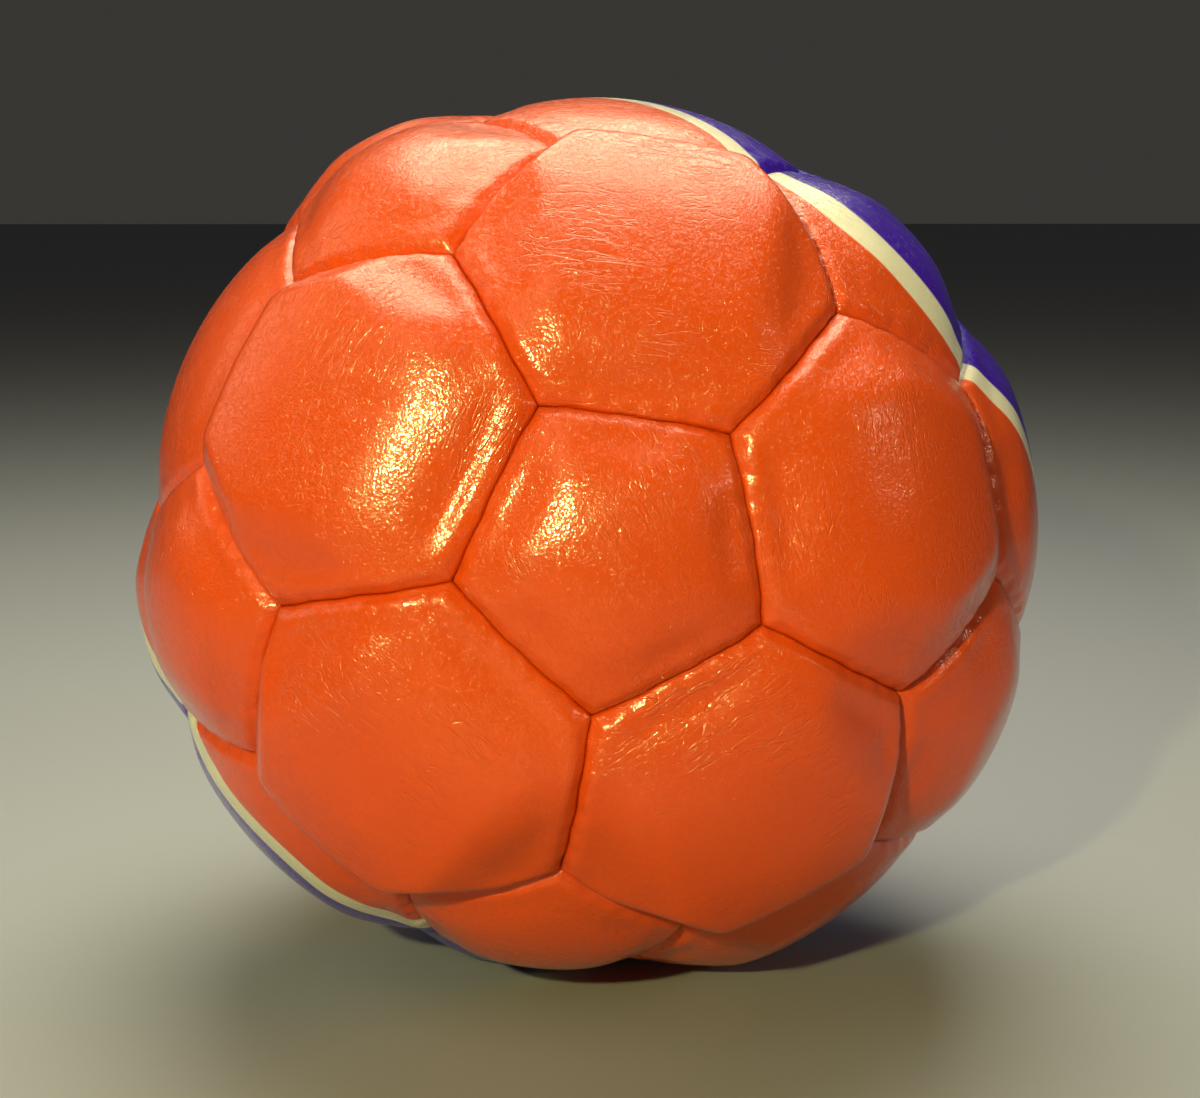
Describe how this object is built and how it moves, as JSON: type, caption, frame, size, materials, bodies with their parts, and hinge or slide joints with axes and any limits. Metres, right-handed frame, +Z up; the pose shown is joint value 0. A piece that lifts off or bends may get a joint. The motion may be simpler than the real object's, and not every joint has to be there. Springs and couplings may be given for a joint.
{
  "type": "medicine ball",
  "caption": "Soft stuffed ball with a stitched cover of pentagon and hexagon leather panels over wadding, for lifting, passing and balance exercises.",
  "frame": {"origin": "on the floor, straight below the ball's centre, on the flat that the ball lies on", "axes": "+Z up; -Y towards the front, where one pentagon panel faces; +X to the right seen from the front"},
  "size_m": [0.2384, 0.2388, 0.235],
  "materials": {
    "orange_leather": "semi-gloss synthetic leather with a fine grain",
    "waxed_thread": "waxed polyester thread",
    "wadding": "needled polyester wadding",
    "lining_cotton": "plain woven cotton",
    "lining_cotton_thread": "cotton thread",
    "textile_stuffing": "shredded textile",
    "canvas": "close woven canvas",
    "sand": "dry sand",
    "twine": "twisted twine"
  },
  "bodies": {
    "root": {"pentagon_panel_01": "orange_leather", "pentagon_panel_02": "orange_leather", "pentagon_panel_03": "orange_leather", "pentagon_panel_04": "orange_leather", "pentagon_panel_05": "orange_leather", "pentagon_panel_06": "orange_leather", "pentagon_panel_07": "orange_leather", "pentagon_panel_08": "orange_leather", "pentagon_panel_09": "orange_leather", "pentagon_panel_10": "orange_leather", "pentagon_panel_11": "orange_leather", "pentagon_panel_12": "orange_leather", "hexagon_panel_01": "orange_leather", "hexagon_panel_02": "orange_leather", "hexagon_panel_03": "orange_leather", "hexagon_panel_04": "orange_leather", "hexagon_panel_05": "orange_leather", "hexagon_panel_06": "orange_leather", "hexagon_panel_07": "orange_leather", "hexagon_panel_08": "orange_leather", "hexagon_panel_09": "orange_leather", "hexagon_panel_10": "orange_leather", "hexagon_panel_11": "orange_leather", "hexagon_panel_12": "orange_leather", "hexagon_panel_13": "orange_leather", "hexagon_panel_14": "orange_leather", "hexagon_panel_15": "orange_leather", "hexagon_panel_16": "orange_leather", "hexagon_panel_17": "orange_leather", "hexagon_panel_18": "orange_leather", "hexagon_panel_19": "orange_leather", "hexagon_panel_20": "orange_leather", "seam_thread": "waxed_thread", "closing_thread": "waxed_thread", "pentagon_pads": "wadding", "hexagon_pads": "wadding", "lower_lining": "lining_cotton", "upper_lining": "lining_cotton", "lining_thread": "lining_cotton_thread", "lower_stuffing": "textile_stuffing", "upper_stuffing": "textile_stuffing", "weight_bag": "canvas", "sand": "sand", "bag_tie": "twine"}
  },
  "joints": []
}
